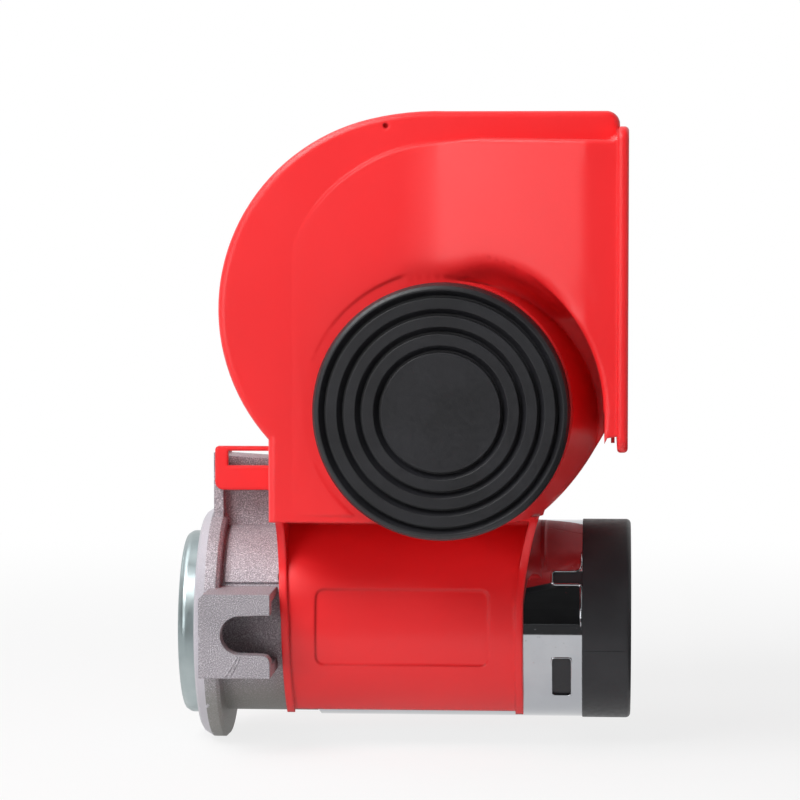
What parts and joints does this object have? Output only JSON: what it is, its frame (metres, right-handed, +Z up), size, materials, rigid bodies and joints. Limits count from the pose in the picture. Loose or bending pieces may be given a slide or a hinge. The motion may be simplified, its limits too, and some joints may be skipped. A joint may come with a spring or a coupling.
{
  "type": "car horn",
  "caption": "Compact two-tone air horn: red snail horn body in two halves on a die-cast vane pump with a chromed electric motor, hung from one bolt slot.",
  "frame": {"origin": "on the axis of the mounting slot, at the slot's front face", "axes": "-Y out of the mounting face along the bolt, +X along the motor towards the mouths and the end cap, +Z up"},
  "size_m": [0.0974, 0.098, 0.1364],
  "materials": {
    "red_shell": "moulded ABS, satin gloss",
    "black_plastic": "moulded nylon, satin",
    "rubber_seal": "moulded rubber",
    "spring_steel": "rolled steel sheet",
    "die_cast": "sand-textured die casting",
    "plated_steel": "bright zinc plate",
    "felt": "felt",
    "bronze": "sintered bronze",
    "aluminium_rotor": "turned aluminium",
    "carbon": "carbon",
    "chrome_can": "polished chrome plate",
    "ferrite": "sintered ferrite",
    "lamination": "stacked sheet",
    "copper": "enamelled copper",
    "brass_blade": "bright brass"
  },
  "bodies": {
    "housing": {"horn_shell_front": "red_shell", "horn_shell_rear": "red_shell", "horn_partition": "red_shell", "diaphragm_front": "spring_steel", "diaphragm_rear": "spring_steel", "diaphragm_seal_front": "rubber_seal", "diaphragm_seal_rear": "rubber_seal", "diaphragm_cap_front": "black_plastic", "diaphragm_cap_rear": "black_plastic", "outlet_gasket": "rubber_seal", "pump_body": "die_cast", "pump_cover": "plated_steel", "assembly_screws": "plated_steel", "inlet_filter": "felt", "shaft_bush_pump": "bronze", "motor_can": "chrome_can", "motor_end_cap": "black_plastic", "shaft_bush_end": "bronze", "magnet_front": "ferrite", "magnet_rear": "ferrite", "brush_plate": "black_plastic", "brush_upper": "carbon", "brush_lower": "carbon", "brush_spring_upper": "plated_steel", "brush_spring_lower": "plated_steel", "terminal_positive": "brass_blade", "terminal_negative": "brass_blade"},
    "rotor": {"motor_shaft": "plated_steel", "armature_core": "lamination", "armature_winding": "copper", "commutator": "copper", "thrust_washer": "plated_steel", "pump_rotor": "aluminium_rotor", "pump_vane_1": "carbon", "pump_vane_2": "carbon", "pump_vane_3": "carbon", "pump_vane_4": "carbon"}
  },
  "joints": [
    {"name": "motor_spin", "type": "hinge", "parent": "housing", "child": "rotor", "pos_m": [0, 0.0345, 0], "axis": [1, 0, 0], "continuous": true}
  ]
}
